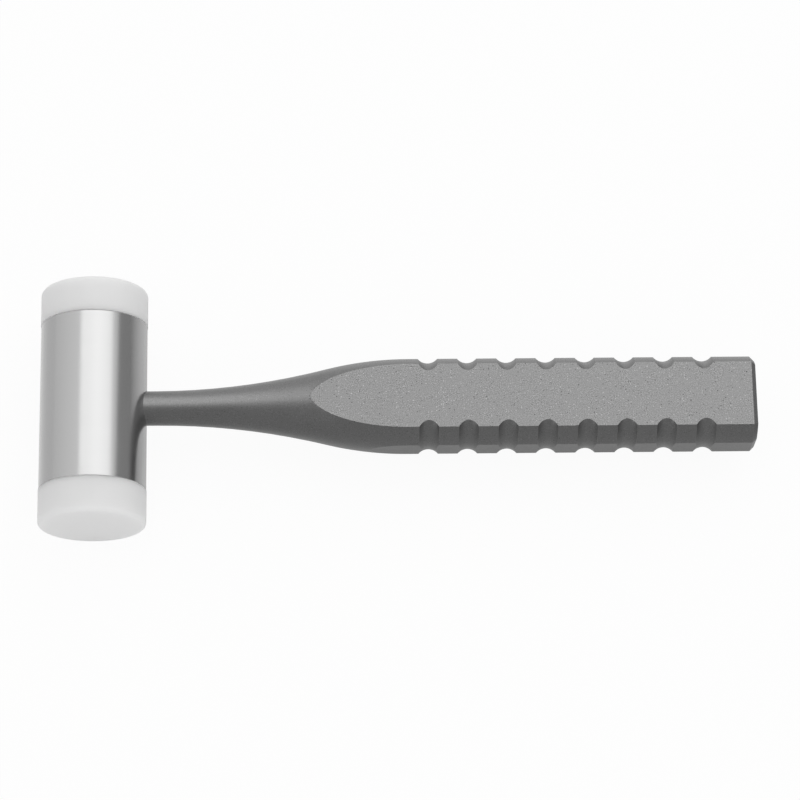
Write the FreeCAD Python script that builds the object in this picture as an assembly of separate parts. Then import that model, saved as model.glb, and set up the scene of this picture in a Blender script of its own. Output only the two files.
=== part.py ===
import FreeCAD, Part
import math
import os

# Surgical hammer: a turned steel head with a screwed plastic cap on each end, and a one-piece metal handle.
# It lies on its side. The head's axis runs along Y, the handle runs from the head towards +X, and Z is up.
# The origin is under the middle of the whole hammer, on the surface that it lies on. Lengths are in mm.

# Head body
head_diameter = 26.9
head_length = 43.5
head_edge_break = 0.12

# Strike caps, a little wider than the head all round
cap_overhang = 0.1
cap_length = 9.25
cap_rim_radius = 1.2
cap_edge_break = 0.1

# Threaded stud of a cap and its bore in the head, drawn at the thread's outer diameter
stud_diameter = 10.0
stud_length = 9.0
stud_lead_chamfer = 0.8
thread_clearance = 0.05
stud_bore_spare_depth = 1.0
stud_bore_mouth_chamfer = 0.5
drill_point_angle = 118.0

# Handle, from the head outwards
neck_diameter = 8.7
neck_straight = 2.55
flare_hollow_length = 42.5
flare_shoulder_length = 20.5
grip_diameter = 24.0
grip_length = 87.8
butt_chamfer = 1.1

# Shank of the handle inside the head
shank_far_wall = 6.0
shank_lead_chamfer = 0.5
shank_clearance = 0.02

# Milled flats, across the handle
main_flats_across = 17.3
side_flats_across = 23.0

# Ring grooves of the grip
groove_pitch = 9.92
groove_depth = 1.15
groove_tool_radius = 3.25
first_groove_offset = 5.3
butt_land = 12.0

# Sizes that follow from these
head_radius = head_diameter / 2
cap_radius = head_radius + cap_overhang
neck_radius = neck_diameter / 2
grip_radius = grip_diameter / 2
stud_radius = stud_diameter / 2 - thread_clearance
drill_cone_slope = math.tan(math.radians(drill_point_angle / 2))
flare_start = head_radius + neck_straight
flare_inflection = flare_start + flare_hollow_length
grip_start = flare_inflection + flare_shoulder_length
handle_reach = grip_start + grip_length
shank_end = -(head_radius - shank_far_wall)
groove_count = 1 + int((grip_length - first_groove_offset - butt_land) / groove_pitch)

# Place of the crossing of the head's axis and the handle's axis
head_axis_x = -(handle_reach - cap_radius) / 2
axis_height = cap_radius
head_centre = FreeCAD.Vector(head_axis_x, 0, axis_height)

ORIGIN = FreeCAD.Vector(0, 0, 0)
X_AXIS = FreeCAD.Vector(1, 0, 0)
Y_AXIS = FreeCAD.Vector(0, 1, 0)


def line_chain(points):
    """Straight edges from each point to the next."""
    return [Part.makeLine(a, b) for a, b in zip(points, points[1:])]


def revolved(edges, axis):
    """Solid swept by a closed outline in the XY plane about an axis through the origin."""
    outline = Part.Wire(edges)
    return Part.Face(outline).revolve(ORIGIN, axis, 360)


def save(shape, name):
    """Moves a finished piece to its place in the hammer and writes its file."""
    shape.translate(head_centre)
    shape.exportStep("parts/" + name + ".step")


# Head body: turned outline, halved at the middle, with a blind drilled bore in each end
def head_body():
    half_length = head_length / 2
    bore_radius = stud_diameter / 2
    bore_floor = half_length - stud_length - stud_bore_spare_depth
    bore_tip = bore_floor - bore_radius / drill_cone_slope
    mouth_radius = bore_radius + stud_bore_mouth_chamfer

    def end_points(side):
        return [
            FreeCAD.Vector(0, side * bore_tip, 0),
            FreeCAD.Vector(bore_radius, side * bore_floor, 0),
            FreeCAD.Vector(bore_radius, side * (half_length - stud_bore_mouth_chamfer), 0),
            FreeCAD.Vector(mouth_radius, side * half_length, 0),
            FreeCAD.Vector(head_radius - head_edge_break, side * half_length, 0),
            FreeCAD.Vector(head_radius, side * (half_length - head_edge_break), 0),
        ]

    points = end_points(-1) + end_points(1)[::-1]
    body = revolved(line_chain(points + points[:1]), Y_AXIS)
    return body.cut(shank_bore())


# Blind cross bore that takes the handle's shank, as deep as the shank is long, with a drilled point
def shank_bore():
    radius = neck_radius + shank_clearance
    points = [
        FreeCAD.Vector(shank_end - radius / drill_cone_slope, 0, 0),
        FreeCAD.Vector(shank_end, radius, 0),
        FreeCAD.Vector(head_diameter, radius, 0),
        FreeCAD.Vector(head_diameter, 0, 0),
    ]
    return revolved(line_chain(points + points[:1]), X_AXIS)


# Strike cap on the +Y end: a disc with a rounded rim, and a stud turned from the same piece
def strike_cap():
    seat = head_length / 2
    face = seat + cap_length
    rim_centre_radius = cap_radius - cap_rim_radius
    rim_centre_y = face - cap_rim_radius
    on_rim = cap_rim_radius * math.sqrt(0.5)
    rim = Part.Arc(
        FreeCAD.Vector(rim_centre_radius, face, 0),
        FreeCAD.Vector(rim_centre_radius + on_rim, rim_centre_y + on_rim, 0),
        FreeCAD.Vector(cap_radius, rim_centre_y, 0),
    ).toShape()
    under_rim = line_chain([
        FreeCAD.Vector(cap_radius, rim_centre_y, 0),
        FreeCAD.Vector(cap_radius, seat + cap_edge_break, 0),
        FreeCAD.Vector(cap_radius - cap_edge_break, seat, 0),
        FreeCAD.Vector(stud_radius, seat, 0),
        FreeCAD.Vector(stud_radius, seat - stud_length + stud_lead_chamfer, 0),
        FreeCAD.Vector(stud_radius - stud_lead_chamfer, seat - stud_length, 0),
        FreeCAD.Vector(0, seat - stud_length, 0),
        FreeCAD.Vector(0, face, 0),
        FreeCAD.Vector(rim_centre_radius, face, 0),
    ])
    return revolved([rim] + under_rim, Y_AXIS)


# Flare of the handle: a hollow arc and a round shoulder, tangent to each other and to both cylinders
def flare_edges():
    rise = grip_radius - neck_radius
    steepest = 2 * math.atan(rise / (flare_hollow_length + flare_shoulder_length))
    hollow_radius = flare_hollow_length / math.sin(steepest)
    shoulder_radius = flare_shoulder_length / math.sin(steepest)

    def on_hollow(angle):
        height = neck_radius + hollow_radius * (1 - math.cos(angle))
        return FreeCAD.Vector(flare_start + hollow_radius * math.sin(angle), height, 0)

    def on_shoulder(angle):
        height = grip_radius - shoulder_radius * (1 - math.cos(angle))
        return FreeCAD.Vector(grip_start - shoulder_radius * math.sin(angle), height, 0)

    hollow = Part.Arc(on_hollow(0), on_hollow(steepest / 2), on_hollow(steepest))
    shoulder = Part.Arc(on_hollow(steepest), on_shoulder(steepest / 2), on_shoulder(0))
    return [hollow.toShape(), shoulder.toShape()]


# Turned outline of the grip: lands and ring grooves cut with a round-nosed tool, then the butt's chamfer
def grip_edges():
    half_width = math.sqrt(groove_tool_radius**2 - (groove_tool_radius - groove_depth)**2)
    floor_radius = grip_radius - groove_depth
    edges = []
    land_from = FreeCAD.Vector(grip_start, grip_radius, 0)
    for number in range(groove_count):
        middle = grip_start + first_groove_offset + number * groove_pitch
        groove_from = FreeCAD.Vector(middle - half_width, grip_radius, 0)
        groove_to = FreeCAD.Vector(middle + half_width, grip_radius, 0)
        edges.append(Part.makeLine(land_from, groove_from))
        edges.append(Part.Arc(groove_from, FreeCAD.Vector(middle, floor_radius, 0), groove_to).toShape())
        land_from = groove_to
    return edges + line_chain([
        land_from,
        FreeCAD.Vector(handle_reach - butt_chamfer, grip_radius, 0),
        FreeCAD.Vector(handle_reach, grip_radius - butt_chamfer, 0),
    ])


# Space that the milling leaves: four flats along the handle, each chamfered at the butt like the rest
def between_flats():
    corner = FreeCAD.Vector(shank_end, -side_flats_across / 2, -main_flats_across / 2)
    block = Part.makeBox(handle_reach - shank_end, side_flats_across, main_flats_across, corner)
    butt_edges = [edge for edge in block.Edges if edge.BoundBox.XMin > handle_reach - butt_chamfer]
    return block.makeChamfer(butt_chamfer, butt_edges)


# Handle: turned in one piece with its shank, then milled with two wide and two narrow flats
def handle():
    shank = line_chain([
        FreeCAD.Vector(shank_end, 0, 0),
        FreeCAD.Vector(shank_end, neck_radius - shank_lead_chamfer, 0),
        FreeCAD.Vector(shank_end + shank_lead_chamfer, neck_radius, 0),
        FreeCAD.Vector(flare_start, neck_radius, 0),
    ])
    butt = line_chain([
        FreeCAD.Vector(handle_reach, grip_radius - butt_chamfer, 0),
        FreeCAD.Vector(handle_reach, 0, 0),
        FreeCAD.Vector(shank_end, 0, 0),
    ])
    turned = revolved(shank + flare_edges() + grip_edges() + butt, X_AXIS)
    return turned.common(between_flats())


os.makedirs("parts", exist_ok=True)
save(head_body(), "head_body")
save(handle(), "handle")
save(strike_cap(), "far_strike_cap")
save(strike_cap().rotate(ORIGIN, X_AXIS, 180), "near_strike_cap")
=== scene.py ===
# %% [markdown]
# # Surgical hammer
# This lesson dresses a hammer that is used with bone chisels. It has a turned steel head, a white plastic
# cap screwed into each end of the head, and a handle that is turned and milled from one bar.
# The shapes of the metal pieces come from the CAD model, which is loaded first and stays where it is.
# Blender adds the finishes, the screw threads, the light and the camera.

import math

import bpy
from mathutils import Matrix, Vector


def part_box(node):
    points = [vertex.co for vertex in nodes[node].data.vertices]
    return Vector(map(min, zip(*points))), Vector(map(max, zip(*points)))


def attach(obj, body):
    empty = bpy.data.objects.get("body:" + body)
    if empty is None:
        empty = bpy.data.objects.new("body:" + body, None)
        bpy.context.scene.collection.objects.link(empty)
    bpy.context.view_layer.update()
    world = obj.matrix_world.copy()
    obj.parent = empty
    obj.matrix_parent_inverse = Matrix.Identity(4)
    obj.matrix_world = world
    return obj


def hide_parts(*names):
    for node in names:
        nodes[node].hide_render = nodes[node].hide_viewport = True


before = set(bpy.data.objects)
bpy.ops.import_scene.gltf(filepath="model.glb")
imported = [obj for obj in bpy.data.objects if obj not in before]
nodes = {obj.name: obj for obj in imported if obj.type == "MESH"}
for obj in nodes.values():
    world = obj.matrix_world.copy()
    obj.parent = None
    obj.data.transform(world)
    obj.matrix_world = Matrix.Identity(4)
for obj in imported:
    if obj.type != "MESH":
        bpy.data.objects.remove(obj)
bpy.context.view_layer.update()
print("CAD nodes:", sorted(nodes))

# %% [markdown]
# ## Millimetres
# A part this small is easier to talk about in millimetres, but Blender's scene is in metres.
# One constant turns the one into the other, and every length below is written with it.

# %% Millimetres and the hammer's axes
MM = 0.001

head_low, head_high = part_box("head_body")
head_centre = (head_low + head_high) / 2
print("Head centre in mm:", [round(c / MM, 3) for c in head_centre])

# %% [markdown]
# ## Camera
# The photograph looks down on the lying hammer, steeply but not straight down, through a long lens.
# The camera's place, its target and its small roll were worked out from the edges of the head, the caps and
# the butt. The camera could be aimed with a Track To constraint, but a matrix also takes the roll.

# %% Camera
camera_place = Vector((-21.596, -276.241, 815.859)) * MM
camera_target = Vector((0.708, 1.757, 13.55)) * MM
camera_roll = math.radians(3.878)
lens_length = 151.18
sensor_width = 36.0

back = (camera_place - camera_target).normalized()
level_right = Vector((0, 0, 1)).cross(back).normalized()
level_up = back.cross(level_right)
right = level_right * math.cos(camera_roll) + level_up * math.sin(camera_roll)
up = level_up * math.cos(camera_roll) - level_right * math.sin(camera_roll)

camera_data = bpy.data.cameras.new("photo_camera")
camera_data.lens = lens_length
camera_data.sensor_width = sensor_width
camera_data.clip_start = 0.05
camera_data.clip_end = 20
camera = bpy.data.objects.new("photo_camera", camera_data)
bpy.context.scene.collection.objects.link(camera)
axes = Matrix((right, up, back)).transposed().to_4x4()
camera.matrix_world = Matrix.Translation(camera_place) @ axes
bpy.context.scene.camera = camera
print("Camera elevation:", round(math.degrees(math.asin(back.z)), 2), "degrees")

# %% [markdown]
# ## Shader maths
# A finish is easier to read as a formula than as a list of nodes and links. `Signal` wraps a socket, so
# that adding or multiplying two of them adds the Math node for it. `Finish` wraps a material, or the
# world, and makes all the other nodes with one method.

# %% Shader maths
NOISE_MIDDLE = 0.5


class Signal:
    """A node's output that can be used in Python arithmetic."""

    def __init__(self, finish, socket):
        self.finish = finish
        self.socket = socket

    def math(self, operation, first, second=0.0):
        return self.finish.node("ShaderNodeMath", {"operation": operation}, {0: first, 1: second})

    def __add__(self, other):
        return self.math("ADD", self, other)

    def __sub__(self, other):
        return self.math("SUBTRACT", self, other)

    def __mul__(self, other):
        return self.math("MULTIPLY", self, other)

    def __radd__(self, other):
        return self.math("ADD", other, self)

    def __rsub__(self, other):
        return self.math("SUBTRACT", other, self)

    def __rmul__(self, other):
        return self.math("MULTIPLY", other, self)


class Finish:
    """The nodes of a new material, or of the world."""

    def __init__(self, name, world=None):
        self.holder = world or bpy.data.materials.new(name)
        self.holder.use_nodes = True
        self.tree = self.holder.node_tree
        self.tree.nodes.clear()

    def node(self, kind, settings=None, inputs=None, output=0):
        made = self.tree.nodes.new(kind)
        for setting, value in (settings or {}).items():
            setattr(made, setting, value)
        for place, value in (inputs or {}).items():
            if isinstance(value, Signal):
                self.tree.links.new(value.socket, made.inputs[place])
            else:
                made.inputs[place].default_value = value
        return Signal(self, made.outputs[output])

    def surface(self, shader, kind="ShaderNodeOutputMaterial"):
        end = self.tree.nodes.new(kind)
        self.tree.links.new(shader.socket, end.inputs["Surface"])

    def place_in_mm(self):
        """The point on the piece in millimetres, counted from the head's centre."""
        point = self.node("ShaderNodeTexCoord", output="Object")
        return self.node(
            "ShaderNodeMapping",
            {"vector_type": "POINT"},
            {"Vector": point, "Location": tuple(-c / MM for c in head_centre), "Scale": (1 / MM,) * 3},
        )

    def outputs(self, kind, names, inputs=None):
        """Several outputs of one node."""
        made = self.node(kind, inputs=inputs).socket.node
        return [Signal(self, made.outputs[name]) for name in names]

    def split(self, vector):
        return self.outputs("ShaderNodeSeparateXYZ", "XYZ", {0: vector})

    def noise(self, vector, per_mm, detail):
        return self.node("ShaderNodeTexNoise", inputs={"Vector": vector, "Scale": per_mm, "Detail": detail})

    def line_noise(self, position, per_mm, detail):
        """Noise that changes along one direction only."""
        return self.node(
            "ShaderNodeTexNoise",
            {"noise_dimensions": "1D"},
            {"W": position, "Scale": per_mm, "Detail": detail},
        )

    def ramp(self, value, start, end):
        """Rises smoothly from 0 where the value is start to 1 where it is end."""
        return self.node(
            "ShaderNodeMapRange",
            {"interpolation_type": "SMOOTHSTEP"},
            {0: value, 1: start, 2: end},
        )

    def grey(self, value):
        """A neutral colour from a brightness that changes over the surface."""
        return self.node("ShaderNodeCombineColor", inputs={0: value, 1: value, 2: value})

    def bump(self, height, strength, depth_mm):
        return self.node(
            "ShaderNodeBump",
            inputs={"Height": height, "Strength": strength, "Distance": depth_mm * MM},
        )


print("Shader maths ready")

# %% [markdown]
# ## Turned steel
# The head is stainless steel, turned on a lathe and left bright. The turning leaves very fine rings round
# the axis, so reflections are smeared along the head and stay sharp across it. That could be done with an
# anisotropic shader, but real rings as a bump need no tangent and bake with the rest.

# %% Turned steel
steel_tone = 0.56
steel_roughness = 0.2
ring_contrast = 0.01
smudge_contrast = 0.08

steel = Finish("turned_steel")
place = steel.place_in_mm()
along_head = steel.split(place)[1]
fine_rings = steel.line_noise(along_head, per_mm=20.0, detail=3.0)
wide_rings = steel.line_noise(along_head, per_mm=1.3, detail=2.0)
smudges = steel.noise(place, per_mm=0.16, detail=3.0)
ring_bump = steel.bump(fine_rings, strength=0.35, depth_mm=0.004)
tone = steel_tone + (wide_rings - NOISE_MIDDLE) * ring_contrast
tone = tone + (fine_rings - NOISE_MIDDLE) * ring_contrast
steel.surface(steel.node("ShaderNodeBsdfPrincipled", inputs={
    "Base Color": steel.grey(tone),
    "Metallic": 1.0,
    "Roughness": steel_roughness + (smudges - NOISE_MIDDLE) * smudge_contrast,
    "Normal": ring_bump,
}))
print("Steel nodes:", len(steel.tree.nodes))

# %% [markdown]
# ## Blasted metal
# The handle is blasted with fine beads, which leaves a dull grey skin. Its grain is about a quarter of a
# millimetre wide and lies in patches, with a few larger specks in it. It shows most on the milled main
# flats. The edges are painted a little lighter, as a painted highlight for the thin lines of light that
# sharp edges catch. The grain changes the tone and the slope together. A Bevel node finds the edges:
# near one, its rounded normal turns away from the real one. An edge mask painted on the mesh would do
# too, but would have to follow the shape by hand.

# %% Grain and specks
blasted_tone = 0.25
blasted_roughness = 0.38
grain_contrast = 0.9
grain_contrast_loss = 0.05
specks_per_mm = 1.6
speck_reach_in_cells = 0.3
speck_contrast = 0.7
middle_speck_colour = 0.48

blasted = Finish("blasted_metal")
place = blasted.place_in_mm()
grain = blasted.noise(place, per_mm=4.5, detail=1.0)
patches = blasted.noise(place, per_mm=0.3, detail=1.0)
from_speck, speck_colour = blasted.outputs(
    "ShaderNodeTexVoronoi",
    ("Distance", "Color"),
    {"Vector": place, "Scale": specks_per_mm},
)
speck = blasted.ramp(from_speck, speck_reach_in_cells, 0.0)
speck_shade = blasted.split(speck_colour)[0] - middle_speck_colour
sparkle = (grain - NOISE_MIDDLE) * (patches * grain_contrast - grain_contrast_loss)
sparkle = sparkle + speck * speck_shade * speck_contrast
grain_bump = blasted.bump(grain, strength=0.2, depth_mm=0.03)
print("Grain and specks ready")

# %% Painted edge highlight and main flats
edge_width = 0.25
edge_turn = 0.1
# How much lighter the edges are painted: a painted highlight, not wear.
painted_edge_highlight = 0.06
main_flat_height = 8.65
grain_starts_below = 0.2
grain_full_below = 0.05
contrast_elsewhere = 0.4
cloud_contrast = 0.02
cloud_roughness = 0.06

rounded = blasted.node("ShaderNodeBevel", inputs={"Radius": edge_width * MM})
facing = blasted.outputs("ShaderNodeNewGeometry", ("Normal",))[0]
same_way = blasted.node(
    "ShaderNodeVectorMath",
    {"operation": "DOT_PRODUCT"},
    {0: rounded, 1: facing},
    output="Value",
)
# Where the Bevel node finds an edge, which gets the painted highlight.
highlighted_edge = blasted.ramp(1 - same_way, 0.0, edge_turn)
above_axis = blasted.split(place)[2]
from_axis = blasted.node("ShaderNodeMath", {"operation": "ABSOLUTE"}, {0: above_axis})
on_main_flat = blasted.ramp(
    from_axis,
    main_flat_height - grain_starts_below,
    main_flat_height - grain_full_below,
)
contrast = contrast_elsewhere + on_main_flat * (1 - contrast_elsewhere)
clouds = blasted.noise(place, per_mm=0.08, detail=3.0)
tone = blasted_tone + sparkle * contrast
# The edges get a painted highlight on top of the grain.
tone = tone + (clouds - NOISE_MIDDLE) * cloud_contrast + highlighted_edge * painted_edge_highlight
blasted.surface(blasted.node("ShaderNodeBsdfPrincipled", inputs={
    "Base Color": blasted.grey(tone),
    "Metallic": 1.0,
    "Roughness": blasted_roughness + (clouds - NOISE_MIDDLE) * cloud_roughness,
    "Normal": grain_bump,
}))
print("Blasted metal nodes:", len(blasted.tree.nodes))

# %% [markdown]
# ## White plastic
# The caps are turned from a white plastic that lets a little light through, so their edges never look dark.
# Subsurface scattering gives that milky look, and faint rings on the faces tell that they were turned.

# %% White plastic
plastic_tone = 0.81
plastic_roughness = 0.5
haze_contrast = 0.02
haze_roughness = 0.1
milkiness_depth = 3.0

plastic = Finish("white_plastic")
place = plastic.place_in_mm()
across, _, height = plastic.split(place)
from_axis = plastic.node("ShaderNodeMath", {"operation": "SQRT"}, {0: across * across + height * height})
rings = plastic.line_noise(from_axis, per_mm=5.0, detail=2.0)
haze = plastic.noise(place, per_mm=0.25, detail=3.0)
plastic_bump = plastic.bump(rings, strength=0.15, depth_mm=0.01)
plastic.surface(plastic.node("ShaderNodeBsdfPrincipled", inputs={
    "Base Color": plastic.grey(plastic_tone + (haze - NOISE_MIDDLE) * haze_contrast),
    "Roughness": plastic_roughness + (haze - NOISE_MIDDLE) * haze_roughness,
    "Subsurface Weight": 1.0,
    "Subsurface Radius": (1.0, 1.0, 1.0),
    "Subsurface Scale": milkiness_depth * MM,
    "Normal": plastic_bump,
}))
print("Plastic nodes:", len(plastic.tree.nodes))

# %% [markdown]
# ## Metal pieces
# The head and the handle keep the CAD model's meshes, which are exact, so they only need their finish.

# %% Put the finishes on the metal pieces
def dress(piece, finish):
    """Gives a piece one finish all over."""
    piece.data.materials.clear()
    piece.data.materials.append(finish.holder)


dress(nodes["head_body"], steel)
dress(nodes["handle"], blasted)
print("Finished: head_body, handle")

# %% [markdown]
# ## Selecting by place
# The caps and threads are modelled with the same operators as by hand. An operator works on what is
# selected, so one helper starts with nothing selected, and another selects edges or faces by where they are.

# %% Selecting by place
same_within = 0.01


def start_fresh():
    """Leaves edit mode and deselects everything, so that an operator can't touch the CAD nodes."""
    if bpy.context.mode != "OBJECT":
        bpy.ops.object.mode_set(mode="OBJECT")
    bpy.ops.object.select_all(action="DESELECT")


def select_in_mesh(piece, kind, wanted):
    """Enters edit mode with the edges or faces selected whose corners are all where wanted says."""
    bpy.ops.object.mode_set(mode="EDIT")
    bpy.ops.mesh.select_mode(type=kind)
    bpy.ops.mesh.select_all(action="DESELECT")
    bpy.ops.object.mode_set(mode="OBJECT")
    corners = piece.data.vertices
    for part in piece.data.edges if kind == "EDGE" else piece.data.polygons:
        part.select = all(wanted(corners[corner].co / MM) for corner in part.vertices)
    bpy.ops.object.mode_set(mode="EDIT")


def near(value, target):
    """Whether two lengths in mm are the same, but for rounding."""
    return abs(value - target) < same_within


print("Selecting by place ready")

# %% [markdown]
# ## Strike cap
# Each cap is one turned piece of white plastic: a disc with a rounded rim, and a stud that screws into the
# head. Worn caps are unscrewed and replaced. The disc starts as a cylinder that stands on its seat, at
# z = 0. Its rim is bevelled round, and the stud is inset and extruded from the face that meets the head.
# A spin of the whole outline would also do, but this way each step is one that a turner makes.

# %% Strike cap, a disc with a stud
cap_low, cap_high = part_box("far_strike_cap")
cap_radius = (cap_high.x - cap_low.x) / 2 / MM
cap_length = (cap_high.y - head_high.y) / MM
stud_length = (head_high.y - cap_low.y) / MM
stud_radius = 4.95
rim_radius = 1.2
rim_segments = 8
seat_chamfer = 0.1
stud_lead_chamfer = 0.8
cap_sides = 128

start_fresh()
bpy.ops.mesh.primitive_cylinder_add(
    vertices=cap_sides,
    radius=cap_radius * MM,
    depth=cap_length * MM,
    location=(0, 0, cap_length / 2 * MM),
)
cap = bpy.context.object
cap.name = "far_threaded_cap"
bpy.ops.object.transform_apply(location=True)

select_in_mesh(cap, "EDGE", lambda corner: near(corner.z, cap_length))
bpy.ops.mesh.bevel(offset=rim_radius * MM, segments=rim_segments, affect="EDGES")
select_in_mesh(cap, "EDGE", lambda corner: near(corner.z, 0))
bpy.ops.mesh.bevel(offset=seat_chamfer * MM, segments=1, affect="EDGES")
select_in_mesh(cap, "FACE", lambda corner: near(corner.z, 0))
bpy.ops.mesh.inset(thickness=(cap_radius - seat_chamfer - stud_radius) * MM)
bpy.ops.mesh.extrude_region_move(TRANSFORM_OT_translate={"value": (0, 0, -stud_length * MM)})
select_in_mesh(cap, "EDGE", lambda corner: near(corner.z, -stud_length))
bpy.ops.mesh.bevel(offset=stud_lead_chamfer * MM, segments=1, affect="EDGES")
start_fresh()
print("Cap of", len(cap.data.polygons), "faces, in mm:", [round(side / MM, 2) for side in cap.dimensions])

# %% [markdown]
# ## Screw thread
# The stud carries a metric thread, and the bore in the head has the matching one. A metric thread's groove
# is an equilateral triangle, so a circle of three corners is its exact outline, and the Screw modifier
# winds that triangle up the axis. The same coil is used twice: one cuts the groove out of the stud, and a
# slightly smaller one is the ridge in the bore, which fits the groove with a little play.

# %% Screw thread
thread_pitch = 1.5
steps_per_turn = 48


def thread_coil(name, point_radius, base_radius, start, turns):
    """A triangle wound about the z axis. Its point is towards the axis. Sizes are in mm."""
    corner_distance = (base_radius - point_radius) * 2 / 3
    start_fresh()
    bpy.ops.mesh.primitive_circle_add(
        vertices=3,
        radius=corner_distance * MM,
        location=((point_radius + corner_distance) * MM, 0, start * MM),
        rotation=(math.radians(90), math.radians(-90), 0),
    )
    coil = bpy.context.object
    coil.name = name
    bpy.ops.object.transform_apply()
    winding = coil.modifiers.new("winding", "SCREW")
    winding.axis = "Z"
    winding.angle = math.radians(360 * turns)
    winding.screw_offset = thread_pitch * turns * MM
    winding.steps = winding.render_steps = int(steps_per_turn * turns)
    winding.use_smooth_shade = False
    bpy.ops.object.modifier_apply(modifier=winding.name)
    bpy.ops.object.mode_set(mode="EDIT")
    bpy.ops.mesh.select_all(action="SELECT")
    bpy.ops.mesh.fill_holes(sides=3)
    bpy.ops.mesh.select_all(action="SELECT")
    bpy.ops.mesh.normals_make_consistent(inside=False)
    start_fresh()
    return coil


groove_root = 4.0
groove_overcut = 0.07
groove_turns = 5.5
groove_start = -stud_length - thread_pitch / 2
groove = thread_coil(
    "thread_groove",
    groove_root,
    stud_radius + groove_overcut,
    groove_start,
    groove_turns,
)
print("Groove coil in mm:", [round(side / MM, 2) for side in groove.dimensions])

# %% Cut the groove out of the stud
smooth_below = 30

start_fresh()
cap.select_set(True)
bpy.context.view_layer.objects.active = cap
cutting = cap.modifiers.new("cutting", "BOOLEAN")
cutting.operation = "DIFFERENCE"
cutting.solver = "EXACT"
cutting.object = groove
bpy.ops.object.modifier_apply(modifier=cutting.name)
bpy.data.objects.remove(groove)
bpy.ops.object.shade_smooth_by_angle(angle=math.radians(smooth_below))
print("Threaded cap of", len(cap.data.polygons), "faces")

# %% Ridge of the bore
bore_radius = 5.0
ridge_play = 0.12
ridge_depth_in_wall = 0.1
fewer_turns = 1.2

ridge = thread_coil(
    "far_bore_thread",
    groove_root + ridge_play,
    bore_radius + ridge_depth_in_wall,
    groove_start + thread_pitch,
    groove_turns - fewer_turns,
)
print("Ridge in mm:", [round(side / MM, 2) for side in ridge.dimensions])

# %% [markdown]
# ## Both ends
# The cap and its bore are the same at both ends of the head, so each is copied once and turned to face the
# other way. A half turn keeps the thread right-handed, which a mirror wouldn't. The places go into the
# meshes, and the objects stay at the origin like the CAD nodes.

# %% Both ends
def put_on_end(piece, side):
    """Stands a piece that was made on z = 0 on the far (+1) or near (-1) end of the head."""
    start_fresh()
    piece.select_set(True)
    bpy.context.view_layer.objects.active = piece
    piece.rotation_euler = (math.radians(-90 * side), 0, 0)
    piece.location = (head_centre.x, side * head_high.y, head_centre.z)
    bpy.ops.object.transform_apply()


def own_copy(piece, name):
    copy = piece.copy()
    copy.data = piece.data.copy()
    copy.name = copy.data.name = name
    bpy.context.scene.collection.objects.link(copy)
    return copy


near_cap = own_copy(cap, "near_threaded_cap")
near_ridge = own_copy(ridge, "near_bore_thread")
for piece, side in ((cap, 1), (ridge, 1), (near_cap, -1), (near_ridge, -1)):
    put_on_end(piece, side)

for piece, body, node in ((cap, "far_cap", "far_strike_cap"), (near_cap, "near_cap", "near_strike_cap")):
    dress(piece, plastic)
    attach(piece, body)
    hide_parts(node)
for piece in (ridge, near_ridge):
    dress(piece, steel)
    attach(piece, "hammer")
print("Caps and threads are on both ends")

# %% [markdown]
# ## Floor
# The hammer lies on a white sheet. The camera sees it as nearly plain white, as in the photograph, with a
# trace of the soft shadow. Shiny surfaces see the sheet too, but only in part, because the real one is
# well lit only near the hammer: the rest of what they see there comes from the greys of the room, below.

# %% Floor
sheet_width = 12
paper_tone = 0.9
camera_white_share = 0.94
mirror_white_share = 0.2
mirror_clear_share = 0.7

start_fresh()
bpy.ops.mesh.primitive_plane_add(size=sheet_width, location=(0, 0, 0))
floor = bpy.context.object
floor.name = "white_floor"
sheet = Finish("white_sheet")
ray_kinds = ("Is Camera Ray", "Is Glossy Ray", "Is Transmission Ray")
camera_ray, glossy_ray, clear_ray = sheet.outputs("ShaderNodeLightPath", ray_kinds)
mirror_ray = glossy_ray + clear_ray
paper = sheet.node("ShaderNodeBsdfDiffuse", inputs={"Color": (paper_tone, paper_tone, paper_tone, 1)})
glow = sheet.node("ShaderNodeEmission", inputs={"Color": (1, 1, 1, 1), "Strength": 1.0})
white_share = camera_ray * camera_white_share + mirror_ray * mirror_white_share
shown = sheet.node("ShaderNodeMixShader", inputs={0: white_share, 1: paper, 2: glow})
clear = sheet.node("ShaderNodeBsdfTransparent")
clear_share = mirror_ray * mirror_clear_share
sheet.surface(sheet.node("ShaderNodeMixShader", inputs={0: clear_share, 1: shown, 2: clear}))
floor.data.materials.append(sheet.holder)
print("Floor is", floor.dimensions.x, "m wide")

# %% [markdown]
# ## Light
# One large soft box hangs over the hammer, a little behind it. It makes the wide bright band on the head
# and the light top of the handle. A second, low lamp at the front lifts the face of the near cap, and
# leaves no mark on the metal.

# %% Light
hammer_middle = Vector((0, 0, 0.02))


def soft_lamp(name, direction, distance, size, level, spread):
    """A rectangular lamp that faces the hammer. Its level is the brightness of its surface."""
    lamp_data = bpy.data.lights.new(name, "AREA")
    lamp_data.shape = "RECTANGLE"
    lamp_data.size, lamp_data.size_y = size
    lamp_data.energy = level * math.pi * size[0] * size[1]
    lamp_data.spread = math.radians(spread)
    lamp = bpy.data.objects.new(name, lamp_data)
    towards = Vector(direction).normalized()
    lamp.location = hammer_middle + towards * distance
    lamp.rotation_euler = towards.to_track_quat("Z", "Y").to_euler()
    lamp.visible_camera = False
    bpy.context.scene.collection.objects.link(lamp)
    return lamp


softbox = soft_lamp(
    "softbox",
    direction=(0.203, 0.51, 1.0),
    distance=0.7,
    size=(1.02, 0.694),
    level=0.36,
    spread=125,
)
front_fill = soft_lamp(
    "front_fill",
    direction=(0.0, -1.0, 0.1),
    distance=0.6,
    size=(0.6, 0.1),
    level=2.0,
    spread=180,
)
front_fill.visible_glossy = False
print("Lamps:", round(softbox.data.energy, 2), "W and", round(front_fill.data.energy, 2), "W")

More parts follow.
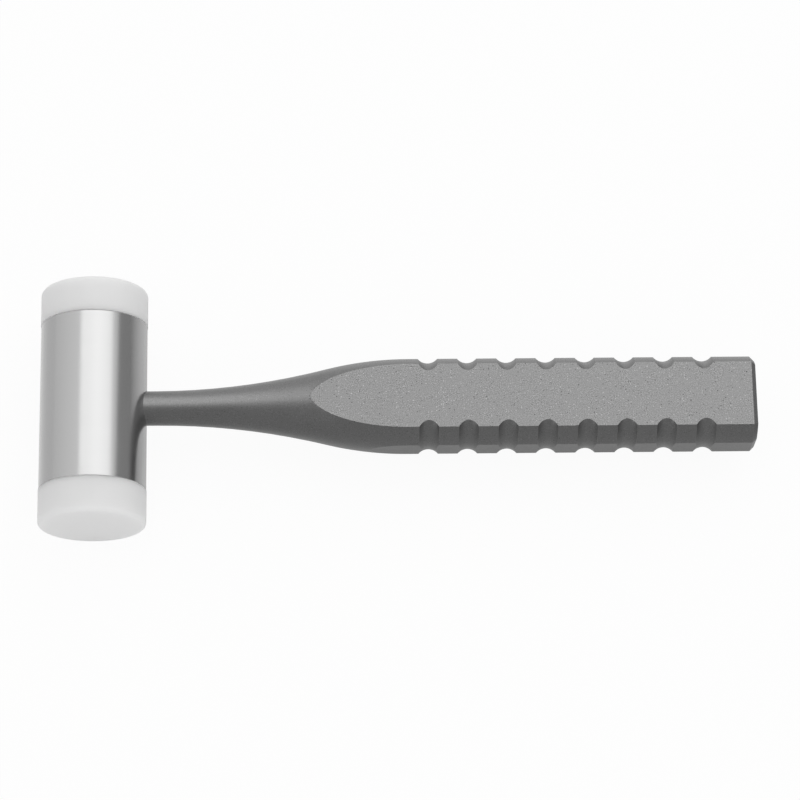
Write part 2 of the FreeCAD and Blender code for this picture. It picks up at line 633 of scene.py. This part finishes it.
# %% [markdown]
# ## The room
# The room lights the hammer evenly from all sides. Metal, though, shows its surroundings more than its own
# colour, and the photographer's room is pale at the back and on the left, dark on the right and dull on the
# camera's side. Cards could be stood round the hammer one by one, but the greys change gently, so they are
# painted on the world, where only shiny surfaces see them. `x`, `y` and `z` are the direction that a
# reflection looks in. `rise` is how far it looks up and `fall` how far it looks down, through the sheet.

# %% Directions of the room
world = bpy.data.worlds.new("pale_room")
bpy.context.scene.world = world
room = Finish("pale_room", world)
x, y, z = room.split(room.node("ShaderNodeTexCoord", output="Generated"))
camera_ray, glossy_ray, clear_ray = room.outputs("ShaderNodeLightPath", ray_kinds)
rise = room.node("ShaderNodeMath", {"operation": "MAXIMUM"}, {0: z, 1: 0.0})
fall = rise - z
print("The room's directions are ready")

# %% [markdown]
# ## Greys of the four sides
# Each side of the room has a level, which changes with the height that is looked at. The sheet is
# brightest a little way behind the hammer and dim right under it. High up on the camera's side there is a
# pale patch like a window: the photograph's side of the hammer hardly sees it, but it gives the head a
# band from behind. The bare factors below were found by comparing renders with the photograph.

# %% Greys of the four sides
far_level = 0.79
far_sheet_gain = 0.2
under_sheet_loss = 0.4
left_level = 0.705
right_level = 0.30
near_level = 0.43
window_gain = 0.4

far_grey = far_level + room.ramp(fall, 0.2, 0.6) * far_sheet_gain
far_grey = far_grey - room.ramp(fall, 0.6, 0.95) * under_sheet_loss
left_grey = left_level + rise * 0.22 - fall * 0.27 + fall * fall * 0.58
right_grey = right_level + fall * 0.933 - fall * fall * 0.52
steep_fall = fall * fall * fall * fall
near_grey = near_level - rise * 0.1 - x * x * 0.2 + steep_fall * 0.35
window = room.ramp(x, 0.2, 0.35) * room.ramp(z, 0.4, 0.55)
near_grey = near_grey + window * window_gain
print("Levels:", far_level, left_level, right_level, near_level)

# %% [markdown]
# ## One room from four greys
# The greys are laid over each other with soft borders: first left and right, then the camera's side, whose
# left corner stays with the left side, but for the part low down. Surfaces that aren't shiny see one plain
# level all round, and the camera sees white. The sheet hides part of what lies below the horizon from a
# reflection, so the greys there are worked out from how clear it is.

# %% One room from four greys
room_level = 0.7
sheet_level = 0.85
sheet_hides = 1 - mirror_clear_share
horizon_blur = 0.003

to_left = room.ramp(x, -0.1, -0.35)
to_right = room.ramp(x - room.ramp(z, 0.0, 0.4) * 0.4, 0.2, 0.29)
left_corner = room.ramp(x, -0.46, -0.66) * room.ramp(z, 0.05, 0.25)
to_near = room.ramp(y, 0.0, -0.04) * (1 - left_corner)
grey = far_grey + (left_grey - far_grey) * to_left
grey = grey + (right_grey - grey) * to_right
grey = grey + (near_grey - grey) * to_near

below = room.ramp(z, horizon_blur, -horizon_blur)
through_sheet = (grey - sheet_level * sheet_hides) * (1 / mirror_clear_share)
grey = grey + (through_sheet - grey) * below

seen_by_shiny = (grey - room_level) * (glossy_ray + clear_ray)
level = room_level + seen_by_shiny + (1 - room_level) * camera_ray
backdrop = room.node("ShaderNodeBackground", inputs={"Color": room.grey(level), "Strength": 1.0})
room.surface(backdrop, "ShaderNodeOutputWorld")
print("Room nodes:", len(room.tree.nodes))

# %% [markdown]
# ## Colours
# The Standard view shows each colour as it is written.

# %% Colour management
bpy.context.scene.view_settings.view_transform = "Standard"
